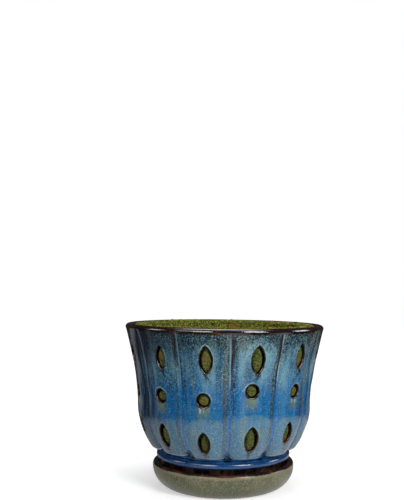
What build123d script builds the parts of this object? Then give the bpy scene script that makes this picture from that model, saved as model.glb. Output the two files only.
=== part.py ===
from build123d import *
import os
from math import atan2, cos, degrees, radians, sin, sqrt

os.makedirs("parts", exist_ok=True)

# Stoneware orchid pot with twelve lobes and three rows of pierced slots, standing in its own
# saucer and lined with pressed moss. The origin is the middle of the saucer's underside, +Z is
# up and the front faces -Y. Millimetres and degrees.

# Lobes
lobe_count = 12
lobe_turn = 3.4
groove_depth = 1.3
lobe_depth = 3.8
groove_fade_height = 16.0
lean_angle = 0.65

# Pot radii, from the lip down
lip_radius = 80.0
flare_reach = 10.5
curl_reach = 11.5
lobe_overhang = 7.4
underside_reach = 2.3
ring_reach = 2.8
foot_taper = 9.7
throat_step = 4.0
throat_inset = 2.6
throat_power = 4
flare_power = 1.46
curl_share = 0.63
curl_depth_power = 1.6
curl_spacing_power = 1.3

# Pot heights, one above the other from the foot
foot_height = 13.5
ring_underside_rise = 1.5
ring_height = 4.6
neck_gap = 3.15
underside_rise = 1.0
curl_height = 35.3
flare_height = 58.4
lip_thickness = 5.6

# Pot wall, floor and foot
wall = 4.2
pot_floor_height = 9.0
foot_recess_depth = 3.0
foot_rim_width = 6.0
drain_radius = 8.0
inner_corner_rise = 8.0
corner_reach_share = 1.5
ring_edge_radius = 1.1
foot_edge_radius = 0.8

# Slots: three rows, each a pointed, round or oval opening through the wall
upper_slot_width = 9.6
upper_slot_length = 20.8
upper_slot_tip = 0.7
upper_slot_drop = 19.5
round_slot_radius = 5.0
round_slot_drop = 26.6
lower_slot_width = 9.2
lower_slot_length = 20.0
lower_slot_tip = 2.2
lower_slot_drop = 32.6
cut_overrun = 12.0
join_overrun = 3.0

# Notch at the lower end of each crease
notch_depth = 0.8
notch_overrun = 2.0
notch_inner_radius = 0.8
notch_outer_radius = 3.2

# The slots are cut by hand, so each sits a little off its row and its panel's middle, and the
# pointed ones differ a little in size
upper_rise_shares = [-0.012, 0.058, -0.02, 0.035, 0.0, -0.04, 0.02, 0.045, -0.03, 0.01, -0.02, -0.026]
round_rise_shares = [0.37, 0.16, -0.12, 0.18, -0.22, 0.05, 0.24, -0.08, 0.15, -0.20, -0.23, -0.34]
lower_rise_shares = [0.012, 0.14, -0.04, 0.03, 0.08, -0.06, 0.02, -0.09, 0.06, 0.04, -0.015, -0.145]
upper_turn_shares = [0.029, 0.029, -0.03, 0.01, 0.05, -0.02, 0.03, 0.0, -0.04, 0.02, 0.088, 0.051]
round_turn_shares = [-0.048, 0.013, 0.02, 0.04, -0.02, 0.03, -0.04, 0.01, 0.05, -0.03, 0.003, -0.015]
lower_turn_shares = [-0.011, -0.072, 0.03, -0.02, 0.02, 0.04, -0.03, 0.02, -0.01, 0.03, -0.009, -0.029]
upper_size_shares = [0.03, -0.04, 0.02, -0.05, 0.0, -0.08, 0.03, -0.02, 0.04, -0.06, -0.13, 0.0]
lower_size_shares = [0.06, -0.1, 0.0, 0.04, -0.05, 0.02, -0.08, 0.03, 0.05, -0.04, 0.03, -0.06]

# Saucer
saucer_floor_height = 8.0
saucer_height = 20.0
saucer_margin = 3.0
saucer_rim_thickness = 5.2
saucer_shoulder_inset = 3.4
saucer_shoulder_height = 6.2
saucer_base_inset = 12.2
saucer_recess_depth = 3.0
saucer_base_width = 7.0
foot_clearance = 1.6
saucer_inner_bulge_share = 0.42

# Moss lining
moss_clearance = 0.4
moss_thickness = 11.0
moss_floor_thickness = 10.0
moss_crown = 2.6
moss_corner_rise = 14.0

# Sizes that follow from the ones above
pitch_angle = 360 / lobe_count
waist_radius = lip_radius - flare_reach
edge_radius = waist_radius - curl_reach
neck_radius = edge_radius - lobe_overhang
ring_radius = neck_radius + ring_reach
foot_radius = ring_radius - foot_taper
ring_bottom = foot_height + ring_underside_rise
ring_top = ring_bottom + ring_height
neck_top = ring_top + neck_gap
edge_height = neck_top + underside_rise
waist_height = edge_height + curl_height
lip_height = waist_height + flare_height
lip_round = lip_thickness / 2
pot_height = lip_height + lip_round
upper_slot_height = pot_height - upper_slot_drop - lip_round
round_slot_height = upper_slot_height - round_slot_drop
lower_slot_height = round_slot_height - lower_slot_drop
saucer_radius = ring_radius + saucer_margin
saucer_rim_round = saucer_rim_thickness / 2
saucer_rim_height = saucer_height - saucer_rim_round
saucer_base_radius = saucer_radius - saucer_base_inset
saucer_floor_radius = foot_radius + foot_clearance


def fall_share(height):
    """How far down the curl a height lies, zero at the waist and above it and one at the lobes' edge."""
    return max(0, (waist_height - height) / curl_height)


def panel_radius(height):
    """Radius at the middle of a lobe's panel."""
    if height >= waist_height:
        rise_share = (height - waist_height) / flare_height
        return waist_radius + flare_reach * rise_share**flare_power
    bend_share = fall_share(height) * curl_share
    curl = (1 - sqrt(1 - bend_share**2)) / (1 - sqrt(1 - curl_share**2))
    return waist_radius - curl_reach * curl


def crease_radius(height):
    """Radius at the crease between two lobes."""
    fade = min(1, (lip_height - height) / groove_fade_height)
    depth = groove_depth * fade + (lobe_depth - groove_depth) * fall_share(height) ** curl_depth_power
    return panel_radius(height) - depth


def place(radius, angle, height):
    """Point at a radius and height, at an angle from the front towards +X."""
    return Vector(radius * sin(radians(angle)), -radius * cos(radians(angle)), height)


def outline(panel, crease, height):
    """Closed wire of one arc for each lobe."""
    arcs = []
    for lobe in range(lobe_count):
        start = lobe_turn + lobe * pitch_angle
        arcs.append(
            Edge.make_three_point_arc(
                place(crease, start, height),
                place(panel, start + pitch_angle / 2, height),
                place(crease, start + pitch_angle, height),
            )
        )
    return Wire(arcs)


def body_outline(height):
    return outline(panel_radius(height), crease_radius(height), height)


def lean(shape):
    """The body above the foot leans towards +X about the middle of the neck."""
    pivot = Pos(0, 0, neck_top)
    return pivot * Rot(0, lean_angle, 0) * pivot.inverse() * shape


def flat_point(radius, height):
    """Point of a profile that is drawn flat, its X the radius and its Y the height."""
    return Vector(radius, height)


def turned(face):
    """Solid of revolution about Z from a face drawn flat."""
    return revolve(Rot(90, 0, 0) * face, Axis.Z)


# The body is lofted through outlines that stand closer together where the wall curls under
curl_sections = 6
flare_sections = 6
curl_shares = [(step / curl_sections) ** curl_spacing_power for step in range(curl_sections)]
curl_levels = [edge_height + curl_height * share for share in curl_shares]
flare_levels = [waist_height + flare_height * step / flare_sections for step in range(flare_sections + 1)]
body = Solid.make_loft([body_outline(level) for level in curl_levels + flare_levels])

# Underside of the lobes, from their lower edge in to the neck
underside_panel = edge_radius - underside_reach
underside_crease = crease_radius(edge_height) - underside_reach
underside = Solid.make_loft(
    [outline(underside_panel, underside_crease, neck_top), body_outline(edge_height)],
    ruled=True,
)

# Round lip, the outer quarter here and the inner quarter in the hollow
lip_crest = lip_radius - lip_round
lip_profile = [
    Line(flat_point(0, lip_height), flat_point(lip_radius, lip_height)),
    RadiusArc(flat_point(lip_radius, lip_height), flat_point(lip_crest, pot_height), -lip_round),
    Line(flat_point(lip_crest, pot_height), flat_point(0, pot_height)),
    Line(flat_point(0, pot_height), flat_point(0, lip_height)),
]
lip = turned(make_face(lip_profile))


def inner_radius(height):
    """Radius of the hollow, kept a wall's thickness inside the creases and the neck."""
    return crease_radius(height) - wall - throat_inset * fall_share(height) ** throat_power


# Hollow of the pot
throat_radius = neck_radius - wall
floor_radius = throat_radius - throat_step
inner_lip = lip_radius - lip_thickness
inner_spans = 8
inner_rise = (lip_height - edge_height) / inner_spans
inner_levels = [edge_height + inner_rise * step for step in range(inner_spans)]


def side_radius(height):
    """Radius of the side of the hollow, also below the lobes, where it narrows to the floor."""
    if height >= edge_height:
        return inner_radius(height)
    floor_share = (edge_height - height) / (edge_height - pot_floor_height)
    return inner_radius(edge_height) + (floor_radius - inner_radius(edge_height)) * floor_share


def hollow_side(inset, corner, floor_height):
    """The floor and side of the hollow, pulled in all round by an inset, up to the lip."""
    corner_top = floor_height + corner
    lowest_wall_level = corner_top + corner / 2
    corner_radius = side_radius(corner_top) - inset
    corner_start = flat_point(corner_radius - corner * corner_reach_share, floor_height)
    wall_points = [flat_point(corner_radius, corner_top)]
    for level in inner_levels:
        if level > lowest_wall_level:
            wall_points.append(flat_point(inner_radius(level) - inset, level))
    wall_points.append(flat_point(inner_lip - inset, lip_height))
    return [
        Line(flat_point(0, floor_height), corner_start),
        TangentArc(corner_start, wall_points[0], tangent=(1, 0)),
        Spline(*wall_points),
    ]


mouth_height = pot_height + cut_overrun
hollow_profile = hollow_side(0, inner_corner_rise, pot_floor_height) + [
    RadiusArc(flat_point(inner_lip, lip_height), flat_point(lip_crest, pot_height), lip_round),
    Line(flat_point(lip_crest, pot_height), flat_point(lip_crest, mouth_height)),
    Line(flat_point(lip_crest, mouth_height), flat_point(0, mouth_height)),
    Line(flat_point(0, mouth_height), flat_point(0, pot_floor_height)),
]
hollow = turned(make_face(hollow_profile))

# Foot, ring and neck
foot_profile = Polyline(
    flat_point(0, 0),
    flat_point(foot_radius, 0),
    flat_point(neck_radius - ring_edge_radius, foot_height),
    flat_point(ring_radius, ring_bottom),
    flat_point(ring_radius, ring_top - ring_edge_radius),
    flat_point(neck_radius, ring_top + ring_edge_radius),
    flat_point(neck_radius, neck_top + join_overrun),
    flat_point(0, neck_top + join_overrun),
    close=True,
)
foot_face = make_face(foot_profile)
ring_corners = [
    corner
    for corner in foot_face.vertices()
    if corner.X > ring_radius - ring_edge_radius / 2 and corner.Y < ring_top
]
foot_face = fillet(ring_corners, ring_edge_radius)
foot_corners = [corner for corner in foot_face.vertices() if corner.Y == 0 and corner.X > 0]
foot_face = fillet(foot_corners, foot_edge_radius)
foot = turned(foot_face)
foot_recess = Pos(0, 0, foot_recess_depth / 2) * Cylinder(foot_radius - foot_rim_width, foot_recess_depth)
drain = Pos(0, 0, pot_floor_height / 2) * Cylinder(drain_radius, pot_floor_height + cut_overrun)

pot = lean(body + underside + lip) + foot
pot = pot - lean(hollow) - foot_recess - drain

notch_length = edge_radius + notch_overrun - crease_radius(edge_height) + notch_depth
notch_middle = edge_radius + notch_overrun - notch_length / 2
notches = []
for lobe in range(lobe_count):
    angle = lobe_turn + lobe * pitch_angle
    plane = Plane(origin=place(notch_middle, angle, edge_height), z_dir=place(1, angle, 0))
    notches.append(lean(plane * Cone(notch_inner_radius, notch_outer_radius, notch_length)))
pot = pot - notches


def almond(width, length, tip):
    """Pointed oval of two arcs, its tips rounded."""
    face = make_face(
        [
            ThreePointArc((0, length / 2), (width / 2, 0), (0, -length / 2)),
            ThreePointArc((0, -length / 2), (-width / 2, 0), (0, length / 2)),
        ]
    )
    return fillet(face.vertices(), tip)


def slot_tool(shape, lobe, height, turn_share):
    """A shape carried onto the wall, square to it, and run through it."""
    angle = lobe_turn + (lobe + 0.5 + turn_share) * pitch_angle
    step = wall / 2
    rise = panel_radius(height + step) - panel_radius(height - step)
    tilt = degrees(atan2(rise, step + step))
    outward = place(cos(radians(tilt)), angle, -sin(radians(tilt)))
    across = place(1, angle + 90, 0)
    plane = Plane(origin=place(panel_radius(height), angle, height), x_dir=across, z_dir=outward)
    return extrude(plane * shape, cut_overrun, both=True)


def upper_slot(lobe):
    size = 1 + upper_size_shares[lobe]
    return almond(upper_slot_width * size, upper_slot_length * size, upper_slot_tip)


def round_slot(lobe):
    return Circle(round_slot_radius).face()


def lower_slot(lobe):
    size = 1 + lower_size_shares[lobe]
    return almond(lower_slot_width * size, lower_slot_length * size, lower_slot_tip)


rows = [
    (upper_slot, upper_slot_height, upper_slot_length, upper_rise_shares, upper_turn_shares),
    (round_slot, round_slot_height, round_slot_radius * 2, round_rise_shares, round_turn_shares),
    (lower_slot, lower_slot_height, lower_slot_length, lower_rise_shares, lower_turn_shares),
]
for slot, row_height, length, rise_shares, turn_shares in rows:
    row_tools = []
    for lobe in range(lobe_count):
        height = row_height + length * rise_shares[lobe]
        row_tools.append(lean(slot_tool(slot(lobe), lobe, height, turn_shares[lobe])))
    pot = pot - row_tools

# The pot stands on the floor of the saucer
seat = Pos(0, 0, saucer_floor_height)
pot = seat * pot

# Saucer
rim_outer = flat_point(saucer_radius, saucer_rim_height)
rim_inner = flat_point(saucer_radius - saucer_rim_thickness, saucer_rim_height)
rim_crest = flat_point(saucer_radius - saucer_rim_round, saucer_height)
base_outer = flat_point(saucer_base_radius, 0)
base_inner = flat_point(saucer_base_radius - saucer_base_width, 0)
recess_edge = flat_point(saucer_base_radius - saucer_base_width, saucer_recess_depth)
shoulder = flat_point(saucer_radius - saucer_shoulder_inset, saucer_shoulder_height)
floor_edge = flat_point(saucer_floor_radius, saucer_floor_height)
bowl_reach = saucer_radius - saucer_rim_thickness - saucer_floor_radius
bowl_rise = saucer_rim_height - saucer_floor_height
inner_bulge = flat_point(
    saucer_floor_radius + bowl_reach * (1 - saucer_inner_bulge_share / 2),
    saucer_floor_height + bowl_rise * saucer_inner_bulge_share,
)
saucer_profile = [
    Line(flat_point(0, saucer_recess_depth), recess_edge),
    Line(recess_edge, base_inner),
    Line(base_inner, base_outer),
    ThreePointArc(base_outer, shoulder, rim_outer),
    ThreePointArc(rim_outer, rim_crest, rim_inner),
    ThreePointArc(rim_inner, inner_bulge, floor_edge),
    Line(floor_edge, flat_point(0, saucer_floor_height)),
    Line(flat_point(0, saucer_floor_height), flat_point(0, saucer_recess_depth)),
]
saucer = turned(make_face(saucer_profile))

# Moss lining: a soft cup that follows the hollow and stands clear of the clay all round
moss_inset = moss_clearance + moss_thickness
moss_bottom = pot_floor_height + moss_clearance
moss_floor = moss_bottom + moss_floor_thickness
moss_outer = flat_point(inner_lip - moss_clearance, lip_height)
moss_inner = flat_point(inner_lip - moss_inset, lip_height)
moss_crest = flat_point(inner_lip - moss_clearance - moss_thickness / 2, lip_height + moss_crown)
moss_profile = hollow_side(moss_clearance, inner_corner_rise, moss_bottom)
moss_profile += [ThreePointArc(moss_outer, moss_crest, moss_inner)]
moss_profile += hollow_side(moss_inset, moss_corner_rise, moss_floor)
moss_profile += [Line(flat_point(0, moss_floor), flat_point(0, moss_bottom))]
moss_liner = seat * lean(turned(make_face(moss_profile)))

for name, piece in {"pot": pot, "saucer": saucer, "moss_liner": moss_liner}.items():
    piece.label = name
    export_step(piece, f"parts/{name}.step")
    print(name, "valid", piece.is_valid, "volume", round(piece.volume), piece.bounding_box().size)
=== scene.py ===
from math import atan2, cos, pi, radians, sin, sqrt

import bmesh
import bpy
import numpy as np
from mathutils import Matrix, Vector


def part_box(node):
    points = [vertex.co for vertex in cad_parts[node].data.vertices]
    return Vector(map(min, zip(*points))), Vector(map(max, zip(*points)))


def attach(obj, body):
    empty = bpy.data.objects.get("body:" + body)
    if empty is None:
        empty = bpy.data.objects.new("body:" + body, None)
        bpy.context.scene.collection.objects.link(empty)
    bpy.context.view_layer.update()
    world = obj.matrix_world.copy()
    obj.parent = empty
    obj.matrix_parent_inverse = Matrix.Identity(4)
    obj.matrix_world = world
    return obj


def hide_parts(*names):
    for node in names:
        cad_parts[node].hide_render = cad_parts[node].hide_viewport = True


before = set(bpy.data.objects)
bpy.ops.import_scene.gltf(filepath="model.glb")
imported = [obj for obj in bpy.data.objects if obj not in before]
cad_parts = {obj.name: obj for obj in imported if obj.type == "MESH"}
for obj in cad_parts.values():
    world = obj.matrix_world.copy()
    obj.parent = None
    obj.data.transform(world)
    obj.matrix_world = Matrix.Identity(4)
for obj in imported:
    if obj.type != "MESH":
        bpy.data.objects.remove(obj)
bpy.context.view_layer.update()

# Sizes are in millimetres and degrees, as the pot is made, and make_mesh turns them into metres.
# Heights of the pot are measured from the underside of its foot.
METRE = 1000.0

# Lobes
lobe_count = 12
lobe_turn = 3.4
groove_depth = 1.3
lobe_depth = 3.8
groove_fade_height = 16.0
lean_angle = 0.65
crease_softness = 0.55
crease_line_depth = 0.45
crease_line_width = 1.25
notch_rise = 2.0
notch_width = 2.6
notch_fade_height = 8.0
notch_clearance = 1.7

# Pot radii
lip_radius = 80.0
flare_reach = 10.5
curl_reach = 11.5
lobe_overhang = 7.4
underside_reach = 2.3
ring_reach = 2.8
foot_taper = 9.7
throat_step = 4.0
throat_inset = 2.6
throat_power = 4
flare_power = 1.46
curl_share = 0.63
curl_depth_power = 1.6

# Pot heights, one above the other from the foot
foot_height = 13.5
ring_underside_rise = 1.5
ring_height = 4.6
neck_gap = 3.15
underside_rise = 1.0
curl_height = 35.3
flare_height = 58.4
lip_thickness = 5.6

# Pot wall, floor and foot
wall = 4.2
pot_floor_height = 9.0
foot_recess_depth = 3.0
foot_rim_width = 6.0
foot_round = 0.8
foot_swell = 0.1
ring_round = 1.8
neck_corner = 0.9
drain_radius = 8.0
drain_round = 0.6
drain_surround = 4.0
floor_corner = 8.0

# Slots
upper_slot_width = 9.6
upper_slot_length = 20.8
upper_slot_tip = 0.7
upper_slot_drop = 19.5
round_slot_radius = 5.0
round_slot_drop = 26.6
lower_slot_width = 9.2
lower_slot_length = 20.0
lower_slot_tip = 2.2
lower_slot_drop = 32.6
outer_edge_round = 0.75
inner_edge_round = 0.4
upper_rise_shares = [-0.012, 0.058, -0.02, 0.035, 0.0, -0.04, 0.02, 0.045, -0.03, 0.01, -0.02, -0.026]
round_rise_shares = [0.37, 0.16, -0.12, 0.18, -0.22, 0.05, 0.24, -0.08, 0.15, -0.20, -0.23, -0.34]
lower_rise_shares = [0.012, 0.14, -0.04, 0.03, 0.08, -0.06, 0.02, -0.09, 0.06, 0.04, -0.015, -0.145]
upper_turn_shares = [0.029, 0.029, -0.03, 0.01, 0.05, -0.02, 0.03, 0.0, -0.04, 0.02, 0.088, 0.051]
round_turn_shares = [-0.048, 0.013, 0.02, 0.04, -0.02, 0.03, -0.04, 0.01, 0.05, -0.03, 0.003, -0.015]
lower_turn_shares = [-0.011, -0.072, 0.03, -0.02, 0.02, 0.04, -0.03, 0.02, -0.01, 0.03, -0.009, -0.029]
upper_size_shares = [0.03, -0.04, 0.02, -0.05, 0.0, -0.08, 0.03, -0.02, 0.04, -0.06, -0.13, 0.0]
lower_size_shares = [0.06, -0.1, 0.0, 0.04, -0.05, 0.02, -0.08, 0.03, 0.05, -0.04, 0.03, -0.06]

# Sizes that follow from the ones above
pitch_angle = 360 / lobe_count
waist_radius = lip_radius - flare_reach
edge_radius = waist_radius - curl_reach
neck_radius = edge_radius - lobe_overhang
ring_radius = neck_radius + ring_reach
foot_radius = ring_radius - foot_taper
ring_bottom = foot_height + ring_underside_rise
ring_top = ring_bottom + ring_height
neck_top = ring_top + neck_gap
edge_height = neck_top + underside_rise
waist_height = edge_height + curl_height
lip_height = waist_height + flare_height
lip_round = lip_thickness / 2
pot_height = lip_height + lip_round
upper_slot_height = pot_height - upper_slot_drop - lip_round
round_slot_height = upper_slot_height - round_slot_drop
lower_slot_height = round_slot_height - lower_slot_drop
seat_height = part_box("pot")[0].z * METRE


def below_waist(height):
    """How far a height lies below the waist, from 0 there to 1 at the lobes' lower edge."""
    return np.clip((waist_height - np.asarray(height, float)) / curl_height, 0, 1)


def below_lip(height):
    """How far the creases have opened below the lip, from 0 to 1."""
    return np.clip((lip_height - np.asarray(height, float)) / groove_fade_height, 0, 1)


def panel_radius(height):
    """Radius at the middle of a lobe's panel."""
    rise = np.clip((np.asarray(height, float) - waist_height) / flare_height, 0, None)
    fall = below_waist(height) * curl_share
    curl = (1 - np.sqrt(1 - fall**2)) / (1 - sqrt(1 - curl_share**2))
    return waist_radius + flare_reach * rise**flare_power - curl_reach * curl


def crease_depth(height, groove_share):
    """Depth of the crease between two lobes, whose groove has a share of its full depth."""
    deepening = (lobe_depth - groove_depth) * below_waist(height) ** curl_depth_power
    return groove_depth * groove_share + deepening


def lobed_radius(angle, panel, crease):
    """Radius of an outline of one arc for each lobe, its creases a little filled."""
    half = pitch_angle / 2
    across = np.mod(angle - lobe_turn, pitch_angle)
    from_crease = np.minimum(across, pitch_angle - across)
    off_middle = np.radians(np.clip(half - np.sqrt(from_crease**2 + crease_softness**2), 0, None))
    centre = (panel**2 - crease**2) / (2 * (panel - crease * cos(radians(half))))
    arc = panel - centre
    return centre * np.cos(off_middle) + np.sqrt(arc**2 - (centre * np.sin(off_middle)) ** 2)


def crease_distance(angle, radius):
    """Distance along the wall from the nearest crease, below zero on its left."""
    across = np.mod(angle - lobe_turn + pitch_angle / 2, pitch_angle) - pitch_angle / 2
    return np.radians(across) * radius


# Waves in the hand-finished wall: their height, their number to a turn, their length and their start
wall_waves = [(0.16, 7, 11, 0), (0.11, 13, -8, 1), (0.07, 29, 5, 2)]


def waver(angle, height):
    """Slight unevenness of the wall, the same at both ends of a turn."""
    turn = np.radians(angle)
    total = 0
    for high, count, long, start in wall_waves:
        total = total + high * np.sin(count * turn + height / long + start)
    return total


def wall_radius(angle, height):
    """Radius of the outside of the wall between the lobes' lower edge and the lip."""
    panel = panel_radius(height)
    depth = crease_depth(height, np.sqrt(below_lip(height)))
    line = crease_line_depth * np.sqrt(np.clip(depth / groove_depth, 0, 1))
    line = line * np.exp(-((crease_distance(angle, panel) / crease_line_width) ** 2))
    return lobed_radius(angle, panel, panel - depth) - line + waver(angle, height) * below_lip(height)


def inner_radius(angle, height):
    """Radius of the inside of the wall, a wall's thickness inside the creases."""
    open_share = below_lip(height)
    thicker = (lip_thickness - wall) * (1 - open_share) ** 2
    throat = throat_inset * below_waist(height) ** throat_power
    return panel_radius(height) - crease_depth(height, open_share) - wall - thicker - throat + 0 * angle


def place(radius, angle, height):
    """Points at a radius and height, at an angle from the front towards +X."""
    turn = np.radians(angle)
    return np.stack(np.broadcast_arrays(radius * np.sin(turn), -radius * np.cos(turn), height), -1)


def leaned(points):
    """The body above the foot leans towards +X about the middle of the neck."""
    turn = radians(lean_angle)
    x, y, z = points[:, 0], points[:, 1], points[:, 2] - neck_top
    blend = np.clip((points[:, 2] - ring_top) / neck_gap, 0, 1)
    lean_x = x * cos(turn) + z * sin(turn)
    lean_z = z * cos(turn) - x * sin(turn)
    return np.stack([x + (lean_x - x) * blend, y, neck_top + z + (lean_z - z) * blend], -1)


def ring_quads(first, length, count):
    """The quads of each pair of rings of points, numbered from a first one, joined round."""
    around = np.arange(length)
    after = np.roll(around, -1)
    lows = [first + step * length for step in range(count - 1)]
    highs = [low + length for low in lows]
    return [
        np.stack([low + around, low + after, high + after, high + around], -1)
        for low, high in zip(lows, highs)
    ]


class Surface:
    """Points with their glaze values, and the quads between them."""

    def __init__(self):
        self.points = []
        self.values = []
        self.quads = []
        self.count = 0

    def add(self, rings, angles, heights, kind):
        """Rings of equal numbers of points, joined one to the next and round."""
        length = len(rings[0])
        self.quads += ring_quads(self.count, length, len(rings))
        for ring, angle, height in zip(rings, angles, heights):
            self.points.append(ring)
            row = np.stack(np.broadcast_arrays(angle, height, float(kind)), -1)
            self.values.append(row * np.ones((length, 1)))
            self.count += length

    def arrays(self):
        return np.concatenate(self.points), np.concatenate(self.values), np.concatenate(self.quads)


OUTSIDE, CUT, INSIDE, FOOT = 0, 1, 2, 3

# Columns and rows of the wall's quads, for one lobe
columns = 36
upper_rows = 28
column_shares = 0.5 - 0.5 * np.cos(np.linspace(0, pi, columns + 1))
column_shares = 0.55 * np.linspace(0, 1, columns + 1) + 0.45 * column_shares
band_heights = [24.95, 57.6, 83.6, 114.2]
slot_rows = [
    (lower_slot_width, lower_slot_length, lower_slot_tip, lower_slot_height,
     lower_rise_shares, lower_turn_shares, lower_size_shares),
    (2 * round_slot_radius, 2 * round_slot_radius, 1.0, round_slot_height,
     round_rise_shares, round_turn_shares, [0] * lobe_count),
    (upper_slot_width, upper_slot_length, upper_slot_tip, upper_slot_height,
     upper_rise_shares, upper_turn_shares, upper_size_shares),
]


def slot_arc(length, width):
    """Radius of the arc on each side of a slot, and how far past the slot's middle its centre lies."""
    arc = (length**2 + width**2) / (4 * width)
    return arc, arc - width / 2


def slot_edge(width, length, tip, steps):
    """Points round a slot's edge from its right side and their outward normals, steps to a quarter."""
    arc, inset = slot_arc(length, width)
    tip_centre = sqrt(max(0, (arc - tip) ** 2 - inset**2))
    turn = atan2(tip_centre, inset)
    run = np.linspace(0, arc * turn + tip * (pi / 2 - turn), steps + 1)
    on_arc = run <= arc * turn
    bend = np.where(on_arc, run / arc, turn + (run - arc * turn) / tip)
    x = np.where(on_arc, arc * np.cos(bend) - inset, tip * np.cos(bend))
    y = np.where(on_arc, arc * np.sin(bend), tip_centre + tip * np.sin(bend))
    quarter = np.stack([x, y, np.cos(bend), np.sin(bend)], -1)
    half = np.concatenate([quarter[:-1], quarter[:0:-1] * [-1, 1, -1, 1]])
    whole = np.concatenate([half, -half])
    return whole[:, :2], whole[:, 2:]


def band_edge(lobe, low, high):
    """Angles and heights round a lobe's share of a band, from the middle of its right side."""
    angles = lobe_turn + (lobe + column_shares) * pitch_angle
    rows = np.linspace(low, high, upper_rows + 1)
    right = np.stack([np.full(upper_rows, angles[-1]), rows[:-1]], -1)
    top = np.stack([angles[:0:-1], np.full(columns, high)], -1)
    left = np.stack([np.full(upper_rows, angles[0]), rows[:0:-1]], -1)
    bottom = np.stack([angles[:-1], np.full(columns, low)], -1)
    edge = np.concatenate([right, top, left, bottom])
    return np.roll(edge, -(upper_rows // 2), axis=0)


meeting_tries = 12


class Slot:
    """One slot: its plane on the wall and how its edge meets both sides of the wall."""

    def __init__(self, row, lobe):
        width, length, tip, row_height, rise_shares, turn_shares, size_shares = slot_rows[row]
        size = 1 + size_shares[lobe]
        self.width, self.length, self.tip = width * size, length * size, tip
        self.height = row_height + length * rise_shares[lobe]
        self.angle = lobe_turn + (lobe + 0.5 + turn_shares[lobe]) * pitch_angle
        step = wall / 2
        rise = panel_radius(self.height + step) - panel_radius(self.height - step)
        self.tilt = atan2(rise, 2 * step)
        self.outward = place(cos(self.tilt), self.angle, -sin(self.tilt))
        self.across = place(1.0, self.angle + 90, 0.0)
        self.upward = np.cross(self.outward, self.across)
        self.origin = place(panel_radius(self.height), self.angle, self.height)
        self.edge, self.normals = slot_edge(self.width, self.length, tip, (columns + upper_rows) // 2)

    def meet(self, spread, radius_at):
        """Where the edge, pushed out by a spread, runs through a side of the wall."""
        flat = self.edge + self.normals * spread
        base = self.origin + flat[:, :1] * self.across + flat[:, 1:] * self.upward

        def reached(reach):
            points = base + reach[:, None] * self.outward
            return points, np.degrees(np.arctan2(points[:, 0], -points[:, 1]))

        reach = np.zeros(len(flat))
        for _ in range(meeting_tries):
            points, angle = reached(reach)
            miss = np.hypot(points[:, 0], points[:, 1]) - radius_at(angle, points[:, 2])
            reach = reach - miss * cos(self.tilt)
        points, angle = reached(reach)
        angle = self.angle + np.mod(angle - self.angle + 180, 360) - 180
        return points, angle, points[:, 2]


blend_shares = np.array([0.07, 0.16, 0.27, 0.39, 0.51, 0.62, 0.72, 0.8, 0.865, 0.915, 0.95, 0.975, 1.0])
round_turns = np.radians([90, 65, 40, 18, 0])
margin_steps = (0.45, 1.0)


def wall_patch(surface, lobe, row, radius_at, edge_round, side, kind):
    """The wall's skin round one slot, from the slot's rounded edge out to the lobe's share of its band."""
    slot = Slot(row, lobe)
    loops = []
    for turn in round_turns:
        points, angle, height = slot.meet(edge_round * (1 - sin(turn)), radius_at)
        depth = edge_round * (1 - cos(turn)) * side
        loops.append((points - depth * slot.outward, angle, height))
    loops += [slot.meet(edge_round + margin, radius_at) for margin in margin_steps]
    edge = band_edge(lobe, band_heights[row], band_heights[row + 1])
    _, last_angle, last_height = loops[-1]
    for share in blend_shares:
        angle = last_angle + (edge[:, 0] - last_angle) * share
        height = last_height + (edge[:, 1] - last_height) * share
        loops.append((place(radius_at(angle, height), angle, height), angle, height))
    surface.add(*zip(*loops), kind)
    return loops[0]


cut_shares = (0, 0.2, 0.4, 0.6, 0.8, 1)


def add_slotted_wall(surface):
    """Both sides of the wall round each slot, and the slot's own sides between them."""
    for lobe in range(lobe_count):
        for row in range(len(slot_rows)):
            outer, angle, height = wall_patch(surface, lobe, row, wall_radius, outer_edge_round, 1, OUTSIDE)
            inner, _, _ = wall_patch(surface, lobe, row, inner_radius, inner_edge_round, -1, INSIDE)
            rings = [outer + (inner - outer) * share for share in cut_shares]
            surface.add(rings, [angle] * len(rings), [height] * len(rings), CUT)


lobe_turns = [lobe_turn + (lobe + column_shares[:-1]) * pitch_angle for lobe in range(lobe_count)]
loop_angles = np.concatenate(lobe_turns)


def add_loops(surface, profile, kind):
    """Loops round the axis, one for each radius and height of a profile."""
    rings = [place(radius, loop_angles, height) for radius, height in profile]
    surface.add(rings, [loop_angles] * len(rings), [height for _, height in profile], kind)


def wall_loops(radius_at, low, high, steps):
    return [(radius_at(loop_angles, level), level) for level in np.linspace(low, high, steps)]


def rounded(radius, height, size, turns):
    """A rounded corner of a profile about its centre, through turns in degrees from level."""
    return [(radius + size * cos(turn), height + size * sin(turn)) for turn in np.radians(turns)]


def add_lip(surface):
    """Up from the highest band, over the lip and down to the same height inside."""
    crest = rounded(lip_radius - lip_round, lip_height, lip_round, np.linspace(0, 180, 17))
    top = len(crest) // 2
    outer = wall_loops(wall_radius, band_heights[-1], lip_height, 8)[:-1]
    inner = wall_loops(inner_radius, band_heights[-1], lip_height, 8)[:-1]
    add_loops(surface, outer + crest[: top + 1], OUTSIDE)
    add_loops(surface, crest[top:] + inner[::-1], INSIDE)


# Small steps that round the lobes' lower edge, in from it and up from it, and those under it to the neck
edge_start = 0.7
edge_steps = [(0.02, 0.35), (0.3, -0.02), (0.8, -0.25)]
under_step = (0.1, -0.6)
neck_steps = [(1.6, 0.02), (0.5, -0.25)]


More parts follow.
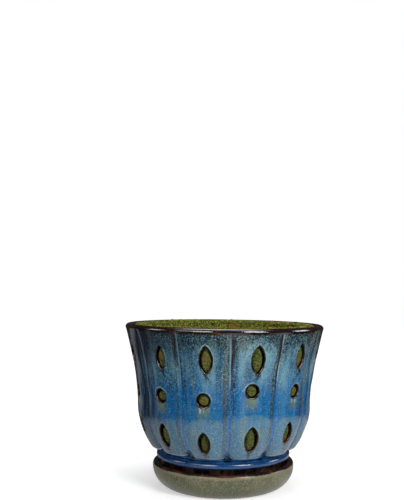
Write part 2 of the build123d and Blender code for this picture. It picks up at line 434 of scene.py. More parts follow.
def add_lower_edge(surface):
    """Down from the lowest band, round the lobes' lower edge, under them and in to the neck."""
    edge = wall_radius(loop_angles, edge_height + 0 * loop_angles)
    under_crease = edge_radius - lobe_depth - underside_reach
    under = lobed_radius(loop_angles, edge_radius - underside_reach, under_crease)
    profile = wall_loops(wall_radius, edge_height + edge_start, band_heights[0], 4)[::-1]
    profile += [(edge - inward, edge_height + upward) for inward, upward in edge_steps]
    profile.append(((edge + under) / 2 - under_step[0], edge_height + under_step[1]))
    profile.append((under, neck_top + 0.05))
    for outward, upward in neck_steps:
        profile.append((np.minimum(under, neck_radius + outward), neck_top + upward))
    profile.append((neck_radius, neck_top - neck_corner))
    add_loops(surface, profile, OUTSIDE)


def add_ring(surface):
    """Neck, and the ring below it with its rounded edge."""
    profile = [(neck_radius, neck_top - neck_corner), (neck_radius, ring_top + neck_corner)]
    for share in np.linspace(0, 1, 5):
        rise = neck_corner * (1 - share) ** 2 + 0.02
        profile.append((neck_radius + (ring_reach - ring_round) * share, ring_top + rise))
    profile += rounded(ring_radius - ring_round, ring_top - ring_round, ring_round, (70, 45, 20, 0))
    profile += rounded(ring_radius - ring_round, ring_bottom + ring_round, ring_round, (0, -30, -60, -90))
    add_loops(surface, profile, OUTSIDE)


def add_foot(surface):
    """Foot below the ring, the recess under it and the drain hole."""
    foot_top_radius = neck_radius - ring_round
    profile = [
        (ring_radius - ring_round, ring_bottom),
        (foot_top_radius, foot_height),
        ((foot_top_radius + foot_radius) / 2, foot_height / 2),
        (foot_radius + foot_swell, foot_round),
        (foot_radius - foot_round * 0.3, foot_round * 0.3),
        (foot_radius - foot_round, 0),
        (foot_radius - foot_rim_width, 0),
        (foot_radius - foot_rim_width, foot_recess_depth),
        (drain_radius + drain_surround, foot_recess_depth),
        (drain_radius + drain_round, foot_recess_depth),
        (drain_radius, foot_recess_depth + drain_round),
        (drain_radius, pot_floor_height - drain_round),
    ]
    add_loops(surface, profile, FOOT)


def add_inside(surface):
    """Rim of the drain hole, the floor, its corner and the wall up to the lowest band."""
    floor_radius = neck_radius - wall - throat_step
    side_low = float(inner_radius(0.0, edge_height))
    throat_height = edge_height - pot_floor_height
    corner_radius = side_low + (floor_radius - side_low) * (throat_height - floor_corner) / throat_height
    corner_reach = floor_corner * 1.5
    profile = [
        (drain_radius, pot_floor_height - drain_round),
        (drain_radius + drain_round, pot_floor_height),
        (drain_radius + drain_surround, pot_floor_height),
        (corner_radius - corner_reach, pot_floor_height),
    ]
    for share in (0.3, 0.55, 0.75, 0.9, 1.0):
        inward = corner_reach * (1 - share) ** 1.6
        profile.append((corner_radius - inward, pot_floor_height + floor_corner * share**2))
    profile += wall_loops(inner_radius, edge_height, band_heights[0], 3)
    add_loops(surface, profile, INSIDE)


def pot_surface():
    surface = Surface()
    add_slotted_wall(surface)
    add_lip(surface)
    add_lower_edge(surface)
    add_ring(surface)
    add_foot(surface)
    add_inside(surface)
    return surface.arrays()


def scalloped(points, angles, heights, kinds):
    """Lifts the lobes' lower edge a little where they meet, which leaves a notch below each crease."""
    off_crease = crease_distance(angles, edge_radius)
    fade = np.clip(1 - (heights - edge_height) / notch_fade_height, 0, 1) ** 2
    share = fade * np.exp(-((off_crease / notch_width) ** 2))
    off_neck = np.hypot(points[:, 0], points[:, 1]) - neck_radius
    moved = (kinds == OUTSIDE) & (off_neck > notch_clearance) & (heights > neck_top)
    return points + np.outer(share * moved * notch_rise, [0, 0, 1])


def add_object(name, data):
    added = bpy.data.objects.new(name, data)
    bpy.context.scene.collection.objects.link(added)
    return added


def make_mesh(name, points, faces):
    """A smooth mesh object from points in millimetres, its faces turned outwards."""
    mesh = bpy.data.meshes.new(name)
    mesh.from_pydata((points / METRE).tolist(), [], faces)
    bm = bmesh.new()
    bm.from_mesh(mesh)
    bmesh.ops.recalc_face_normals(bm, faces=bm.faces)
    open_edges = sum(1 for edge in bm.edges if len(edge.link_faces) != 2)
    print(name, "faces", len(bm.faces), "open edges", open_edges)
    bm.to_mesh(mesh)
    bm.free()
    mesh.polygons.foreach_set("use_smooth", np.ones(len(mesh.polygons), bool))
    mesh.update()
    return add_object(name, mesh)


def give_values(mesh, name, values):
    """Stores one number or one vector for each point of a mesh."""
    if values.ndim == 1:
        layer = mesh.attributes.new(name, "FLOAT", "POINT")
        layer.data.foreach_set("value", values.astype(np.float32))
    else:
        layer = mesh.attributes.new(name, "FLOAT_VECTOR", "POINT")
        layer.data.foreach_set("vector", values.astype(np.float32).ravel())


def welded(points, values, quads):
    """Joins points that lie in one place, and drops faces that close up."""
    keys = np.round(points, 3)
    _, first, same = np.unique(keys, axis=0, return_index=True, return_inverse=True)
    quads = same.reshape(-1)[quads]
    sound = np.ones(len(quads), bool)
    for one in range(4):
        for other in range(one + 1, 4):
            sound &= quads[:, one] != quads[:, other]
    return points[first], values[first], quads[sound]


def slot_distances(angles, heights):
    """Distance to the nearest slot's edge, how far up that slot a point lies, and the slot's row."""
    nearest = np.full(len(angles), 99.0)
    up_share = np.zeros(len(angles))
    side_share = np.full(len(angles), 9.0)
    nearest_row = np.zeros(len(angles))
    for row in range(len(slot_rows)):
        for lobe in range(lobe_count):
            slot = Slot(row, lobe)
            turn = np.mod(angles - slot.angle + 180, 360) - 180
            x = np.radians(turn) * panel_radius(slot.height)
            y = (heights - slot.height) / cos(slot.tilt)
            arc, inset = slot_arc(slot.length, slot.width)
            gap = np.hypot(np.abs(x) + inset, y) - arc
            closer = gap < nearest
            nearest = np.where(closer, gap, nearest)
            up_share = np.where(closer, y / (slot.length / 2), up_share)
            side_share = np.where(closer, x / (slot.width / 2), side_share)
            nearest_row = np.where(closer, row, nearest_row)
    return nearest, up_share, side_share, nearest_row


# Glaze of each lobe, from the one right of the front crease round to the right, and of each crease
pale_lobe_shares = [1.0, 0.3, 0.5, 0.15, 0.7, 0.3, 0.1, 0.6, 0.4, 0.1, 0.05, 0.3]
# The dark shares darken most the lobes on the left, away from the key light: painted shade as well as a
# darker glaze.
dark_and_shaded_lobe_shares = [0.0, 0.05, 0.4, 0.1, 0.0, 0.3, 0.15, 0.0, 0.5, 1.8, 0.28, 0.12]
run_side_shares = [0.9, -0.45, -1.0, 0.8, 1.0, -0.7, 0.3, 1.0, -1.0, 0.6, -0.5, -1.0]
run_length_shares = [1.0, 1.35, 0.8, 0.5, 0.85, 0.4, 0.6, 0.2, 0.7, 0.9, 0.5, 0.7]
run_offset = 2.0
run_half_width = 1.2
run_waver = 0.5
run_wave_length = 4.5
longest_run = 40.0
curl_stretch_share = 0.35


def by_lobe(angles, shares):
    """A value of each lobe, blended from one lobe's middle to the next."""
    lobes = np.mod((angles - lobe_turn) / pitch_angle - 0.5, lobe_count)
    return np.interp(lobes, np.arange(lobe_count + 1), shares + shares[:1])


def crease_runs(angles, heights):
    """Dark runs of glaze that start at the lip beside the creases and thin out below."""
    crease = np.rint((angles - lobe_turn) / pitch_angle).astype(int) % lobe_count
    side = np.array(run_side_shares)[crease] * run_offset
    length = np.array(run_length_shares)[crease] * longest_run
    sideways = run_waver * np.sin(heights / run_wave_length + crease)
    along = crease_distance(angles, panel_radius(heights)) - side + sideways
    down = np.clip((lip_height - heights) / length, 0, 1)
    across = np.abs(along) / (run_half_width * np.clip(1.15 - down, 0.05, 1))
    return np.clip(1.5 - across, 0, 1) * np.clip((1 - down) * 4, 0, 1)


def make_pot():
    points, values, quads = welded(*pot_surface())
    angles, heights, kinds = values.T
    points = scalloped(points, angles, heights, kinds)
    piece = make_mesh("pot_glazed", leaned(points) + [0, 0, seat_height], quads.tolist())
    gaps, up_share, side_share, rows = slot_distances(angles, heights)
    way_up = heights - np.clip(waist_height - heights, 0, None) * curl_stretch_share
    glaze_values = {
        "crease": crease_distance(angles, panel_radius(heights)),
        "height": heights,
        "slot_gap": np.where(kinds == CUT, -1.0, gaps),
        "slot_up": np.clip(up_share, -4, 4),
        "slot_side": np.clip(side_share, -3, 3),
        "slot_row": rows,
        "inside": (kinds == INSIDE).astype(float),
        "foot": (kinds == FOOT).astype(float),
        "run": crease_runs(angles, heights),
        "pale_lobe": by_lobe(angles, pale_lobe_shares),
        "dark_and_shaded_lobe": by_lobe(angles, dark_and_shaded_lobe_shares),
        "flow": place(waist_radius, angles, way_up),
    }
    for name, numbers in glaze_values.items():
        give_values(piece.data, name, numbers)
    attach(piece, "pot")
    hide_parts("pot")
    return piece


pot = make_pot()


class Nodes:
    """Short ways to add nodes to a tree."""

    def __init__(self, tree):
        self.tree = tree

    def link(self, value, socket):
        if isinstance(value, bpy.types.NodeSocket):
            self.tree.links.new(value, socket)
        else:
            socket.default_value = value

    def node(self, kind, values, output=0, **settings):
        node = self.tree.nodes.new(kind)
        for key, value in settings.items():
            setattr(node, key, value)
        for socket, value in values.items():
            self.link(value, node.inputs[socket])
        return node.outputs[output]

    def attribute(self, name, output="Fac"):
        return self.node("ShaderNodeAttribute", {}, output, attribute_name=name)

    def math(self, operation, first, second=0.0):
        return self.node("ShaderNodeMath", {0: first, 1: second}, operation=operation)

    def product(self, first, *others):
        for other in others:
            first = self.math("MULTIPLY", first, other)
        return first

    def band(self, value, low, high, start=0.0, end=1.0):
        """A smooth step of a value from start at low to end at high."""
        values = {"Value": value, "From Min": low, "From Max": high, "To Min": start, "To Max": end}
        return self.node("ShaderNodeMapRange", values, interpolation_type="SMOOTHSTEP")

    def between(self, value, low, high, soft):
        """One from low to high, fading to zero within a soft distance outside them."""
        return self.product(self.band(value, low - soft, low), self.band(value, high + soft, high))

    def mix(self, share, first, second):
        """One colour turned into another by a share; a mix node has its colours after its other sockets."""
        return self.node("ShaderNodeMix", {0: share, 6: first, 7: second}, 2, data_type="RGBA")

    def scaled(self, vector, factors):
        return self.node("ShaderNodeVectorMath", {0: vector, 1: factors}, operation="MULTIPLY")

    def noise(self, vector, scale, detail=3.0, roughness=0.55, distortion=0.0):
        values = {
            "Vector": vector, "Scale": scale, "Detail": detail,
            "Roughness": roughness, "Distortion": distortion,
        }
        return self.node("ShaderNodeTexNoise", values)

    def waved(self, value, noise, reach):
        """A value with a noise added, from minus its reach to its reach."""
        return self.math("ADD", value, self.band(noise, 0.3, 0.7, -reach, reach))

    def on_object(self, scale=METRE):
        """The place on the object, in millimetres unless another scale is given."""
        return self.scaled(self.node("ShaderNodeTexCoord", {}, "Object"), (scale, scale, scale))

    def bump(self, height, distance, normal=None):
        values = {"Height": height, "Distance": distance, "Strength": 1.0}
        if normal is not None:
            values["Normal"] = normal
        return self.node("ShaderNodeBump", values)

    def seen(self):
        """One for rays from the camera, from gloss and through glass, and zero for the rest."""
        path = self.tree.nodes.new("ShaderNodeLightPath")
        either = self.math("MAXIMUM", path.outputs["Is Camera Ray"], path.outputs["Is Glossy Ray"])
        return self.math("MAXIMUM", either, path.outputs["Is Transmission Ray"])


class Look(Nodes):
    """A new material, the colour that is built up on it, and its shader."""

    def __init__(self, name):
        self.material = bpy.data.materials.new(name)
        self.material.use_nodes = True
        super().__init__(self.material.node_tree)
        self.body = None

    def lay(self, tint, *shares):
        """Lays a colour over the body, by the product of its shares."""
        self.body = self.mix(self.product(*shares), self.body, tint)

    def shaded(self, values):
        """The material, once its shader has its inputs."""
        for name, value in values.items():
            self.link(value, self.tree.nodes["Principled BSDF"].inputs[name])
        return self.material


def colour(red, green, blue):
    """A colour given as it shows on a screen, from 0 to 255."""
    shares = [level / 255 for level in (red, green, blue)]
    return tuple(
        share / 12.92 if share <= 0.04045 else ((share + 0.055) / 1.055) ** 2.4 for share in shares
    ) + (1.0,)


deep_blue = colour(6, 70, 122)
mid_blue = colour(26, 104, 154)
bright_blue = colour(0, 92, 160)
clear_blue = colour(4, 94, 152)
pale_blue = colour(140, 174, 194)
pale_teal = colour(114, 156, 168)
# Colours of the painted reflection of the bright table on the curl
painted_reflection_blue = colour(66, 114, 140)
painted_reflection_green = colour(98, 118, 108)
painted_reflection_grey = colour(58, 80, 88)
neck_blue = colour(20, 96, 168)
ring_deep_blue = colour(0, 38, 88)
ring_blue = colour(0, 66, 118)
# A painted highlight for the lobes' lower edge
painted_edge_highlight = colour(158, 166, 182)
teal = colour(34, 80, 114)
dark_teal = colour(12, 27, 42)
grey_green = colour(100, 114, 84)
fleck_green = colour(132, 150, 118)
# Painted shade beside the creases
crease_olive_shade = colour(38, 52, 54)
navy = colour(8, 24, 42)
maroon = colour(40, 20, 30)
brown_black = colour(24, 15, 14)
rust = colour(86, 38, 20)
foot_brown = colour(96, 72, 54)

# Zones of the blue glaze: the height where each starts to show and the one from which it is full
tongue_zone = (74.0, 102.0)
dark_top_zone = (98.0, 112.0)
darker_top_zone = (103.0, 115.0)
shaded_dusk_zone = (86.0, 104.0)
pale_zone = (74.0, 90.0)
pale_zone_top = (112.0, 104.0)
green_fleck_zone = (72.0, 90.0)
pool_zone = (98.0, 82.0)
highlight_thread_zone = (68.0, 88.0)
shade_zone = (50.0, 62.0)
shade_line_zone = (50.0, 66.0)
olive_shade_zone = (104.0, 90.0)
clear_zone = (44.0, 50.0)
clear_zone_top = (82.0, 70.0)
bare_zone = (46.0, 54.0)

# The painted reflection's upper edge, a paler veil that stands for the bright table below, how soft it is,
# and how much higher it is off the creases and on pale lobes
painted_reflection_height = 51.5
painted_reflection_soft = 0.35
painted_reflection_arch = 5.0
pale_lobe_reflection_rise = 6.5

# Depths of the glaze's ripples and grain, in metres
ripple_depth = 0.00014
grain_depth = 0.00005


class BlueGlaze(Look):
    """The pot's glaze, with what its mesh says of each point and with its noises."""

    def __init__(self):
        super().__init__("blue_glaze")
        self.flow = self.attribute("flow", "Vector")
        self.height = self.attribute("height")
        self.crease = self.attribute("crease")
        self.off_crease = self.math("ABSOLUTE", self.crease)
        self.gap = self.attribute("slot_gap")
        self.slot_up = self.attribute("slot_up")
        self.slot_side = self.math("ABSOLUTE", self.attribute("slot_side"))
        self.slot_row = self.attribute("slot_row")
        self.pale_lobe = self.attribute("pale_lobe")
        self.dark_and_shaded_lobe = self.attribute("dark_and_shaded_lobe")

        # Streaks run down the wall, so their noise is drawn out along the flow of the glaze
        self.streak_wide = self.flowing((0.12, 0.12, 0.016), 1.0, 2.0, 0.5, 0.2)
        self.streak_fine = self.flowing((0.5, 0.5, 0.045), 1.0, 2.0, 0.55, 0.2)
        self.cloud = self.flowing((0.09, 0.09, 0.06), 1.0, 3.0, 0.6, 0.6)
        self.clump = self.flowing((0.42, 0.42, 0.3), 1.0, 3.0, 0.65, 0.4)
        self.speckle = self.flowing((1.0, 1.0, 0.8), 0.95, 2.0, 0.75)
        self.grain = self.flowing((1.0, 1.0, -0.85), 1.15, 2.0, 0.7)
        self.fleck = self.flowing((-1.0, 1.0, 0.7), 1.3, 1.0, 0.6)

    def flowing(self, stretch, *settings):
        return self.noise(self.scaled(self.flow, stretch), *settings)


def lay_body(g):
    """Blue, its bright and deep parts in soft streaks and clumps."""
    depth = g.math("ADD", g.product(g.streak_wide, 0.6), g.product(g.clump, 0.4))
    g.body = g.mix(g.band(depth, 0.44, 0.56), deep_blue, mid_blue)
    g.lay(pale_teal, g.band(g.streak_wide, 0.56, 0.68, 0.0, 0.5))
    g.lay(dark_teal, g.band(g.streak_wide, 0.42, 0.3, 0.0, 0.6))


def lay_tongues(g):
    """Teal in tongues below a dark top, and on some lobes pale tongues and a pale arch over a slot."""
    tongue = g.waved(g.waved(g.height, g.streak_wide, -17.0), g.clump, -9.0)
    g.lay(teal, g.band(tongue, *tongue_zone, 0.0, 0.92))
    top = g.waved(g.height, g.clump, -5.0)
    g.lay(dark_teal, g.band(top, *dark_top_zone, 0.0, 0.88))
    g.lay(grey_green, g.band(g.product(g.streak_fine, g.cloud), 0.27, 0.34), 0.45)
    pale_tongue = g.product(g.band(g.height, *pale_zone), g.band(g.height, *pale_zone_top))
    g.lay(pale_teal, g.band(g.streak_wide, 0.42, 0.58), pale_tongue, g.pale_lobe, 0.6)
    arch = g.product(g.between(g.gap, 2.0, 4.4, 1.8), g.band(g.slot_up, -0.6, 0.3))
    arch = g.product(arch, g.band(g.slot_row, 1.5, 1.9), g.pale_lobe)
    g.lay(pale_teal, arch, g.band(g.speckle, 0.35, 0.6, 0.3, 0.9))
    g.lay(dark_teal, g.band(top, *darker_top_zone, 0.0, 0.7))


def lay_creases(g):
    """Bright blue pools in the creases, with painted shade beside them, pale threads painted as highlights
    and dark lines painted as shade.
    """
    shade = g.product(g.between(g.off_crease, 1.6, 4.0, 1.6), g.band(g.height, *shade_zone))
    g.lay(dark_teal, shade, g.band(g.streak_fine, 0.58, 0.42), 0.85)
    pool = g.product(g.band(g.off_crease, 1.6, 0.6), g.band(g.height, *pool_zone))
    g.lay(bright_blue, pool, g.band(g.streak_wide, 0.3, 0.6, 0.6, 1.0))
    # A pale thread just right of each crease is a painted highlight.
    highlight_thread = g.product(g.between(g.crease, -0.1, 0.7, 0.4), g.band(g.height, *highlight_thread_zone))
    g.lay(pale_teal, highlight_thread, g.band(g.cloud, 0.38, 0.52), 0.8)
    # A navy line just left of each crease is painted shade.
    shade_line = g.product(g.between(g.crease, -1.5, -0.7, 0.4), g.band(g.height, *shade_line_zone))
    g.lay(navy, shade_line, g.band(g.streak_wide, 0.66, 0.5), 0.85)


def lay_painted_reflection_and_shade(g):
    """A paler veil on the curl, arched between the creases, that is a painted reflection of the bright
    table below, and dull olive painted as shade on the creases' left.
    """
    line = g.math("SUBTRACT", g.height, g.band(g.off_crease, 0.5, 11.0, -painted_reflection_arch, 0.0))
    line = g.waved(g.math("SUBTRACT", line, g.product(g.pale_lobe, pale_lobe_reflection_rise)), g.clump, 0.4)
    # The paler veil is a painted reflection of the bright table below the pot.
    painted_reflection = g.band(line, painted_reflection_height + painted_reflection_soft, painted_reflection_height - painted_reflection_soft)
    tint = g.mix(g.band(g.streak_fine, 0.46, 0.58, 0.0, 0.8), painted_reflection_blue, painted_reflection_green)
    tint = g.mix(g.band(g.dark_and_shaded_lobe, 0.05, 0.5), tint, painted_reflection_grey)
    g.lay(tint, painted_reflection, g.band(g.off_crease, 1.2, 2.2), g.band(g.streak_wide, 0.35, 0.6, 0.55, 0.82))
    # Dull olive on the creases' left is painted shade.
    olive = g.product(g.between(g.crease, -4.2, -1.8, 1.0), g.band(g.height, *olive_shade_zone), 0.75)
    g.lay(crease_olive_shade, olive, g.band(g.streak_wide, 0.62, 0.46, 0.2, 1.0))


def lay_speckle(g, clear):
    """Pale and dark grains in drifts, fewer where the blue is clear, and the dark runs over them."""
    drift = g.product(g.band(g.clump, 0.35, 0.62), 0.55)
    grains = g.math("ADD", drift, g.math("SUBTRACT", 0.35, g.product(clear, 0.3)))
    g.lay(pale_teal, g.band(g.grain, 0.53, 0.62), grains)
    fleck_tint = g.mix(g.band(g.height, *green_fleck_zone, 0.0, 0.8), mid_blue, fleck_green)
    g.lay(fleck_tint, g.band(g.fleck, 0.55, 0.64), 0.5)
    g.lay(navy, g.band(g.speckle, 0.46, 0.36, 0.0, 0.55))
    g.lay(maroon, g.attribute("run"), g.band(g.clump, 0.3, 0.5, 0.8, 1.0))


def lay_dark_and_shaded_lobes(g):
    """Some lobes, most of all those on the left away from the key light, are darkened in streaks and most
    of all near the lip: painted shade as well as glaze nearly bare of blue.
    """
    dark = g.product(g.dark_and_shaded_lobe, g.band(g.streak_fine, 0.62, 0.38, 0.4, 1.0))
    dark = g.product(dark, g.band(g.height, *bare_zone, 0.45, 1.0))
    g.lay(dark_teal, g.math("MINIMUM", dark, 0.92))
    # Painted shade over the upper part of the darkened lobes.
    shaded_dusk = g.math("MINIMUM", g.product(g.dark_and_shaded_lobe, 2.0), 1.0)
    g.lay(dark_teal, shaded_dusk, g.band(g.height, *shaded_dusk_zone), 0.8)


def lay_slot_runs(g):
    """Olive runs and pale drips below the round slots, and dark tails below the pointed ones."""
    side = g.waved(g.slot_side, g.clump, 0.5)
    round_row = g.band(g.math("ABSOLUTE", g.math("SUBTRACT", g.slot_row, 1.0)), 0.6, 0.3)
    olive = g.product(g.band(g.slot_up, -0.8, -1.2), g.band(g.waved(g.slot_up, g.clump, 0.5), -3.6, -1.3))
    olive = g.product(olive, g.band(side, 1.45, 0.2), round_row)
    g.lay(grey_green, olive, g.band(g.speckle, 0.32, 0.55, 0.4, 1.0))
    drip_end = g.band(g.waved(g.slot_up, g.streak_fine, 0.3), -1.75, -1.35)
    drip_lobe = g.band(g.math("ABSOLUTE", g.math("SUBTRACT", g.pale_lobe, 0.3)), 0.2, 0.05)
    drip = g.product(g.band(g.slot_up, -1.05, -1.15), drip_end, g.band(g.streak_fine, 0.5, 0.58), round_row)
    g.lay(pale_blue, drip, g.band(g.slot_side, 0.9, 0.6), drip_lobe, 0.7)
    tail = g.product(g.band(g.slot_up, -0.92, -1.04), g.band(g.slot_up, -1.9, -1.1), g.band(side, 0.6, 0.1))
    g.lay(dark_teal, tail, g.math("SUBTRACT", 1.0, round_row), 0.85)


def lay_slot_edges(g):
    """A broken pale line over each slot, and brown where the glaze is thin on its edge."""
    line_gap = g.math("ADD", g.gap, g.band(g.clump, 0.3, 0.7, -0.35, 0.4))
    line = g.product(g.between(line_gap, 1.05, 1.2, 0.35), g.band(g.slot_up, -0.6, 0.5))
    g.lay(pale_blue, line, g.band(g.cloud, 0.42, 0.58, 0.05, 0.8), g.band(g.slot_row, 0.3, 0.9, 0.35, 1.0))
    edge_gap = g.math("ADD", g.gap, g.band(g.speckle, 0.3, 0.7, -0.2, 0.25))
    edge_gap = g.math("ADD", edge_gap, g.band(g.slot_up, -0.1, -0.9, 0.0, -0.45))
    rusty = g.product(g.band(g.cloud, 0.52, 0.62), g.band(g.slot_up, 0.2, -0.6))
    rusty = g.product(rusty, g.band(g.speckle, 0.4, 0.6, 0.3, 0.8))
    g.lay(g.mix(rusty, brown_black, rust), g.band(edge_gap, 0.9, 0.5))


def lay_lip_and_inside(g):
    """The glaze breaks to brown on the lip, less at the creases, and is brown all over the inside."""
    crease_dip = g.product(g.band(g.off_crease, 3.4, 0.6, 0.0, 1.8), g.band(g.streak_wide, 0.4, 0.55))
    line = g.math("SUBTRACT", g.waved(g.height, g.clump, 0.6), crease_dip)
    rusty = g.product(g.band(g.cloud, 0.55, 0.66), g.band(g.clump, 0.4, 0.6), 0.7)
    g.lay(g.mix(rusty, brown_black, rust), g.band(line, lip_height - 2.0, lip_height - 1.2))
    g.lay(g.mix(g.band(g.cloud, 0.4, 0.7, 0.0, 0.7), brown_black, rust), g.attribute("inside"))


def lay_neck_and_foot(g):
    """Deep blue in the neck, glaze pooled there and darkened as painted shade, navy painted as shadow under
    the lobes, a clear blue ring, a pale bead on the lobes' edge that is a painted highlight, and a nearly
    bare foot.
    """
    # The neck's deep blue is glaze pooled in the recess, darkened as painted shade.
    neck = g.band(g.height, edge_height - 0.3, edge_height - 0.9)
    neck = g.product(neck, g.band(g.height, ring_top, ring_top + 0.5))
    g.lay(g.mix(g.band(g.clump, 0.3, 0.55), deep_blue, neck_blue), neck, 0.9)
    # Navy below the creases in the neck is painted shadow under the lobes' notches.
    g.lay(navy, neck, g.band(g.off_crease, 4.5, 1.5), 0.8)
    ring_tint = g.mix(g.band(g.speckle, 0.4, 0.6), ring_deep_blue, ring_blue)
    g.lay(ring_tint, g.band(g.height, ring_top + 0.3, ring_top - 0.2, 0.0, 0.95))
    # A pale line on the lobes' rounded lower edge is a painted highlight.
    edge_highlight = g.between(g.height, edge_height + 0.1, edge_height + 0.6, 0.4)
    g.lay(painted_edge_highlight, edge_highlight, g.band(g.off_crease, 1.0, 3.0), 0.75)
    # Navy under the lobes' lower edge is painted shadow.
    g.lay(navy, g.between(g.height, neck_top - 0.7, edge_height - 0.2, 0.2), 0.7)
    g.lay(g.mix(g.band(g.cloud, 0.35, 0.65), brown_black, foot_brown), g.attribute("foot"))


def blue_glaze():
    g = BlueGlaze()
    lay_body(g)
    lay_tongues(g)
    lay_creases(g)
    clear = g.product(g.band(g.height, *clear_zone_top), g.band(g.height, *clear_zone))
    clear = g.product(clear, g.band(g.streak_wide, 0.3, 0.44))
    g.lay(clear_blue, clear, g.band(g.dark_and_shaded_lobe, 0.0, 0.8, 0.65, 0.2))
    lay_painted_reflection_and_shade(g)
    lay_speckle(g, clear)
    lay_dark_and_shaded_lobes(g)
    lay_slot_runs(g)
    lay_slot_edges(g)
    lay_lip_and_inside(g)
    lay_neck_and_foot(g)
    ripple = g.bump(g.noise(g.flow, 0.3, 2.0, 0.5), ripple_depth)
    return g.shaded({
        "Base Color": g.body,
        "Roughness": g.band(g.grain, 0.3, 0.75, 0.06, 0.14),
        "Normal": g.bump(g.grain, grain_depth, ripple),
        "IOR": 1.6,
    })


pot.data.materials.append(blue_glaze())


# Saucer
saucer_rim_height = 17.4
saucer_inner_radius = 51.2
saucer_floor_height = seat_height
saucer_bare_height = 0.8
saucer_grain_depth = 0.0001
saucer_olive = colour(104, 104, 78)
saucer_green = colour(86, 92, 74)
saucer_tan = colour(116, 112, 82)
saucer_pale = colour(142, 144, 120)
saucer_dark = colour(54, 50, 32)
saucer_shade = colour(70, 72, 50)
saucer_stain = colour(66, 52, 34)
rim_tan = colour(140, 124, 88)
rim_brown = colour(34, 22, 20)
rim_rust = colour(120, 56, 34)
bowl_brown = colour(88, 60, 44)
bowl_rust = colour(184, 94, 54)
bare_clay = colour(92, 74, 58)


def saucer_glaze():
    """Speckled grey green, tan and brown at the rim, where the glaze is thin, and glossy brown inside."""
    g = Look("grey_green_glaze")
    place_in = g.on_object()
    split = g.tree.nodes.new("ShaderNodeSeparateXYZ")
    g.link(place_in, split.inputs[0])
    x, y, z = split.outputs
    radius = g.math("SQRT", g.math("ADD", g.math("MULTIPLY", x, x), g.math("MULTIPLY", y, y)))
    cloud = g.noise(place_in, 0.07, 4.0, 0.6, 0.5)
    clump = g.noise(place_in, 0.35, 3.0, 0.65, 0.4)
    speckle = g.noise(place_in, 0.95, 3.0, 0.7)
    fleck = g.noise(place_in, 1.9, 2.0, 0.7)
    g.body = g.mix(g.band(cloud, 0.35, 0.65), saucer_olive, saucer_green)
    g.lay(saucer_tan, g.band(clump, 0.45, 0.65, 0.0, 0.6))
    g.lay(saucer_pale, g.band(speckle, 0.5, 0.66, 0.0, 0.7))
    g.lay(saucer_dark, g.band(fleck, 0.46, 0.32, 0.0, 0.75))
    g.lay(saucer_shade, g.band(speckle, 0.45, 0.33), 0.7)
    near_rim = g.band(z, saucer_rim_height - 8.4, saucer_rim_height - 0.4)
    g.lay(saucer_stain, near_rim, g.band(cloud, 0.45, 0.62), g.band(fleck, 0.56, 0.44), 0.7)
    rim_line = g.waved(z, clump, 0.22)
    tan_line = g.between(rim_line, saucer_rim_height - 0.8, saucer_rim_height + 0.6, 0.5)
    g.lay(rim_tan, tan_line, g.band(cloud, 0.4, 0.6, 0.25, 0.6))
    rim = g.band(rim_line, saucer_rim_height + 0.8, saucer_rim_height + 1.4)
    rusty = g.product(g.band(cloud, 0.46, 0.58), g.band(clump, 0.35, 0.55))
    g.lay(g.mix(0.6, g.mix(rusty, rim_brown, rim_rust), brown_black), rim)
    bowl = g.band(radius, saucer_inner_radius + 0.3, saucer_inner_radius - 0.3)
    bowl = g.product(bowl, g.band(z, saucer_floor_height - 3.0, saucer_floor_height - 1.0))
    g.lay(g.mix(rusty, bowl_brown, bowl_rust), bowl)
    g.lay(bare_clay, g.band(z, saucer_bare_height, 0.2))
    return g.shaded({
        "Base Color": g.body,
        "Roughness": g.band(g.math("MAXIMUM", rim, bowl), 0.0, 1.0, 0.32, 0.08),
        "Normal": g.bump(speckle, saucer_grain_depth),
        "IOR": 1.34,
    })


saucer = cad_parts["saucer"]
saucer.data.materials.clear()
saucer.data.materials.append(saucer_glaze())

# Moss lining
moss_clearance = 0.4
moss_thickness = 11.0
moss_floor_thickness = 10.0
moss_crown = 3.5
moss_bulge = 5.4
moss_sink = 1.3
moss_bowl_rise = 6.0
moss_around = 520
moss_base_lift = 0.85
moss_lump_height = 0.8
moss_tuft_height = 1.2
bulge_start = 0.15
bulge_slope = 1.5
moss_lumps = [(5.5, 1, 0.5), (2.6, 2, 0.45), (1.4, 3, 0.35)]
moss_tufts = [(1.9, 4, 0.6), (1.2, 5, 0.5)]
moss_grain_depth = 0.0006
moss_dark = colour(42, 48, 12)
moss_mid = colour(88, 96, 26)
# Painted shade in the gaps between the tufts
moss_gap_shade = colour(24, 28, 8)
moss_tip = colour(146, 152, 52)
moss_shade = colour(18, 20, 6)
moss_dry = colour(112, 76, 34)
# Colours of the moss packed against the wall, painted lighter as it is seen in the dim slots
lit_packed_dark = colour(42, 50, 18)
lit_packed_mid = colour(106, 112, 54)
lit_packed_shade = colour(32, 38, 12)
lit_packed_dry = colour(104, 80, 40)


